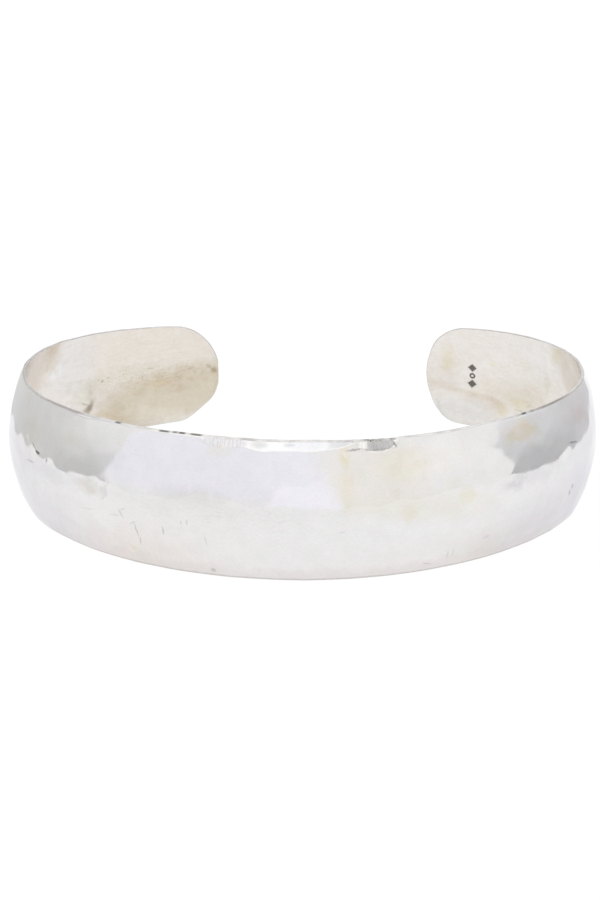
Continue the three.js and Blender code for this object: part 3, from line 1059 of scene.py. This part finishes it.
def left_grey_colour(share, height):
    """Dark at the foot and lighter above, fading into the white card at the front."""
    tone = np.interp(height, (0, 7, 13, 25, 45), (0.61, 0.63, 0.745, 0.865, 0.89))
    tone = lerp(tone, 0.77, smoothstep(0.15, 0.45, share))
    tone = tone * lerp(1.0, 1.08, smoothstep(0.40, 0.05, share))
    into_light = smoothstep(0.34, 0.0, share) * smoothstep(12, 32, height)
    return tinted(lerp(tone, 0.98, 0.9 * into_light), NEUTRAL_GREY)


def right_grey_colour(share, height):
    """The same for the right side."""
    tone = np.interp(height, (0, 6, 14, 30, 45), (0.58, 0.61, 0.75, 0.82, 0.86))
    tone = lerp(tone, 0.74, smoothstep(0.35, 0.7, share))
    into_light = smoothstep(0.22, 0.0, share) * smoothstep(20, 34, height)
    return tinted(lerp(tone, 0.98, 0.9 * into_light), COOL_GREY)


CARD_FOOT = 0.3  # the cards stand this far above the floor
WHITE_CARD_TOP = 55.0
GREY_CARD_TOP = 45.0
BRIGHT_CARD_TOP = 23.0
BRIGHT_CARD_PLACE = 0.98  # it stands nearer than the white cards, at this share of their distance
HOOD_HEIGHTS = (70.0, 105.0)
HOOD_PLAN = [(14.0, -64.0), (44.0, -50.0)]
LEFT_GREY_PLAN = [  # x and y, from near the front to the back
    (-60.5, -22), (-61, -10), (-61, 0), (-57.5, 11), (-52, 20), (-46, 25.5), (-41, 27.5), (-32, 32),
]
RIGHT_GREY_PLAN = [
    (64.5, -12), (65, -2), (63, 9), (59.5, 20), (56, 27), (52, 33), (49.5, 39), (47, 46),
]


def left_grey_line(height):
    """The left grey card's line on the plan. Its front edge comes nearer to the middle higher up."""
    front = np.interp(height, (0, 3, 9, 16, 27, 35, 45), (-65.2, -64, -62.5, -60.8, -59.3, -53, -44))
    return [on_ring(front, GREY_RING)] + LEFT_GREY_PLAN


def right_grey_line(height):
    """The same for the right grey card, whose front edge bulges at the height of the cuff."""
    front = np.interp(height, (0, 8, 11, 15, 20, 30, 45), (71, 72.5, 70.5, 69, 67.8, 71.3, 77))
    return [on_ring(front, GREY_RING)] + RIGHT_GREY_PLAN


def bright_line(height):
    """The bright card narrows upwards."""
    left = np.interp(height, (0, BRIGHT_CARD_TOP), (-8.5, -5))
    right = np.interp(height, (0, BRIGHT_CARD_TOP), (16.0, 10.5))
    return [(x * BRIGHT_CARD_PLACE, y * BRIGHT_CARD_PLACE) for x, y in arc_on_ring(left, right)]


def hood_line(height):
    """A panel over the front, which the flat at the right of the rim's middle looks up to."""
    return HOOD_PLAN


def hood_colour(share, height):
    """White at the left end, and grey from its middle on."""
    return tinted(np.interp(share, (0, 0.2, 0.35, 0.6, 1), (1.02, 0.96, 0.79, 0.75, 0.71)), BLUE_GREY)


def add_cards():
    """The cards, whose reflections give the outside its grey, white and lilac parts."""
    white, grey, bright = ((CARD_FOOT, top) for top in (WHITE_CARD_TOP, GREY_CARD_TOP, BRIGHT_CARD_TOP))
    add_card("card_front_left", lambda height: arc_on_ring(-80, 2), white, front_left_colour)
    add_card("card_front_right", lambda height: arc_on_ring(2, 85), white, front_right_colour)
    add_card("card_bright", bright_line, bright, bright_colour)
    add_card("card_left", left_grey_line, grey, left_grey_colour)
    add_card("card_right", right_grey_line, grey, right_grey_colour)
    add_card("card_hood", hood_line, HOOD_HEIGHTS, hood_colour)


CAMERA_AZIMUTH = 3.2  # degrees to the right of straight in front
CAMERA_ELEVATION = 20.63
CAMERA_DISTANCE = 350.0
CAMERA_LENS = 130.2
CAMERA_SENSOR = 36.0
CAMERA_ROLL = -0.17
CAMERA_CLIP = 0.01  # metres
VIEW_CENTRE = (-0.4, 0.87, 7.6)  # the point that the camera's distance is measured from
AIM_RIGHT = 0.13  # how far beside that point the camera aims, and how far below it
AIM_DOWN = 2.46


def add_camera():
    """The photo's view, from above the floor."""
    azimuth, elevation = math.radians(CAMERA_AZIMUTH), math.radians(CAMERA_ELEVATION)
    flat = math.cos(elevation)
    back = Vector((math.sin(azimuth) * flat, -math.cos(azimuth) * flat, math.sin(elevation)))
    turn = (-back).to_track_quat("-Z", "Y").to_matrix()
    centre = Vector(VIEW_CENTRE)
    place = centre + back * CAMERA_DISTANCE
    target = centre + turn @ Vector((AIM_RIGHT, -AIM_DOWN, 0))
    aim = (target - place).to_track_quat("-Z", "Y").to_matrix()
    aim = aim @ Matrix.Rotation(math.radians(CAMERA_ROLL), 3, "Z")
    data = bpy.data.cameras.new("camera")
    data.lens = CAMERA_LENS
    data.sensor_width = CAMERA_SENSOR
    data.clip_start = CAMERA_CLIP
    camera = bpy.data.objects.new("camera", data)
    camera.matrix_world = Matrix.Translation(place * MM) @ aim.to_4x4()
    bpy.context.scene.collection.objects.link(camera)
    bpy.context.scene.camera = camera


# ---------------- the scene

add_camera()
add_world()
add_floor()
add_cards()
cuff = build_cuff()
for material in (polished_silver(), satin_silver(), rim_silver()):
    cuff.data.materials.append(material)
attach(cuff, "root")
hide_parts("cuff_band")
bpy.context.scene.view_settings.view_transform = "Standard"
